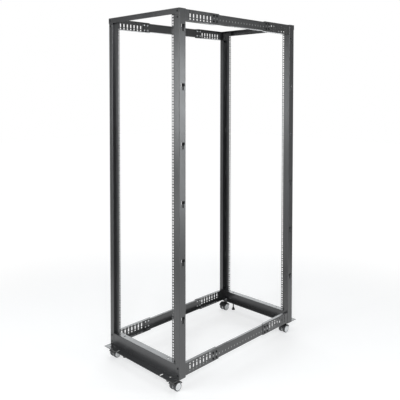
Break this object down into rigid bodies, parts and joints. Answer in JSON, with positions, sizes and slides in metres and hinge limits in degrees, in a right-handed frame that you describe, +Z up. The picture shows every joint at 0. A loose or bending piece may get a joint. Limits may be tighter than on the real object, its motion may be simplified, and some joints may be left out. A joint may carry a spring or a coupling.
{
  "type": "open frame equipment rack",
  "caption": "Four-post open equipment rack of folded black sheet steel, with telescoping depth rails, square mounting holes, swivel casters and levelling feet.",
  "frame": {"origin": "on the floor under the middle of the rack, at its full depth", "axes": "+Z up, -Y towards the front, where the plain top bar is, +X to the right of someone facing the front"},
  "size_m": [0.6, 1.144, 2.0389],
  "materials": {
    "black_powder_coat": "satin powder coat",
    "caster_steel": "satin black",
    "grey_wheel": "matt grey",
    "foot_black": "matt black"
  },
  "bodies": {
    "front_frame": {"front_left_post": "black_powder_coat", "front_left_upper_bracket": "black_powder_coat", "front_left_lower_bracket": "black_powder_coat", "front_left_caster_stem": "caster_steel", "front_left_levelling_foot": "foot_black", "front_right_post": "black_powder_coat", "front_right_upper_bracket": "black_powder_coat", "front_right_lower_bracket": "black_powder_coat", "front_right_caster_stem": "caster_steel", "front_right_levelling_foot": "foot_black", "front_top_beam": "black_powder_coat", "front_base_beam": "black_powder_coat", "front_base_plate": "black_powder_coat"},
    "rear_frame": {"rear_left_post": "black_powder_coat", "rear_left_upper_bracket": "black_powder_coat", "rear_left_lower_bracket": "black_powder_coat", "rear_left_caster_stem": "caster_steel", "rear_left_levelling_foot": "foot_black", "rear_right_post": "black_powder_coat", "rear_right_upper_bracket": "black_powder_coat", "rear_right_lower_bracket": "black_powder_coat", "rear_right_caster_stem": "caster_steel", "rear_right_levelling_foot": "foot_black", "rear_top_beam": "black_powder_coat", "rear_base_beam": "black_powder_coat", "rear_base_plate": "black_powder_coat"},
    "middle_bars": {"left_upper_bar": "black_powder_coat", "left_lower_bar": "black_powder_coat", "right_upper_bar": "black_powder_coat", "right_lower_bar": "black_powder_coat"},
    "front_left_caster_swivel": {"front_left_caster_fork": "caster_steel"},
    "front_left_caster_roller": {"front_left_caster_wheel": "grey_wheel"},
    "front_right_caster_swivel": {"front_right_caster_fork": "caster_steel"},
    "front_right_caster_roller": {"front_right_caster_wheel": "grey_wheel"},
    "rear_left_caster_swivel": {"rear_left_caster_fork": "caster_steel"},
    "rear_left_caster_roller": {"rear_left_caster_wheel": "grey_wheel"},
    "rear_right_caster_swivel": {"rear_right_caster_fork": "caster_steel"},
    "rear_right_caster_roller": {"rear_right_caster_wheel": "grey_wheel"}
  },
  "joints": [
    {"name": "depth_slide", "type": "slide", "parent": "front_frame", "child": "rear_frame", "axis": [0, -1, 0], "range_m": [0, 0.4064]},
    {"name": "bar_slide", "type": "slide", "parent": "front_frame", "child": "middle_bars", "axis": [0, -1, 0], "range_m": [0, 0.2032]},
    {"name": "front_left_swivel", "type": "hinge", "parent": "front_frame", "child": "front_left_caster_swivel", "pos_m": [-0.2615, -0.502, 0.0565], "axis": [0, 0, 1], "continuous": true},
    {"name": "front_left_roll", "type": "hinge", "parent": "front_left_caster_swivel", "child": "front_left_caster_roller", "pos_m": [-0.2615, -0.518, 0.024], "axis": [1, 0, 0], "continuous": true},
    {"name": "front_right_swivel", "type": "hinge", "parent": "front_frame", "child": "front_right_caster_swivel", "pos_m": [0.2615, -0.502, 0.0565], "axis": [0, 0, 1], "continuous": true},
    {"name": "front_right_roll", "type": "hinge", "parent": "front_right_caster_swivel", "child": "front_right_caster_roller", "pos_m": [0.2615, -0.518, 0.024], "axis": [1, 0, 0], "continuous": true},
    {"name": "rear_left_swivel", "type": "hinge", "parent": "rear_frame", "child": "rear_left_caster_swivel", "pos_m": [-0.2615, 0.502, 0.0565], "axis": [0, 0, 1], "continuous": true},
    {"name": "rear_left_roll", "type": "hinge", "parent": "rear_left_caster_swivel", "child": "rear_left_caster_roller", "pos_m": [-0.2615, 0.486, 0.024], "axis": [1, 0, 0], "continuous": true},
    {"name": "rear_right_swivel", "type": "hinge", "parent": "rear_frame", "child": "rear_right_caster_swivel", "pos_m": [0.2615, 0.502, 0.0565], "axis": [0, 0, 1], "continuous": true},
    {"name": "rear_right_roll", "type": "hinge", "parent": "rear_right_caster_swivel", "child": "rear_right_caster_roller", "pos_m": [0.2615, 0.486, 0.024], "axis": [1, 0, 0], "continuous": true}
  ],
  "couplings": [
    {"joint": "bar_slide", "follows": "depth_slide", "ratio": 0.5}
  ]
}
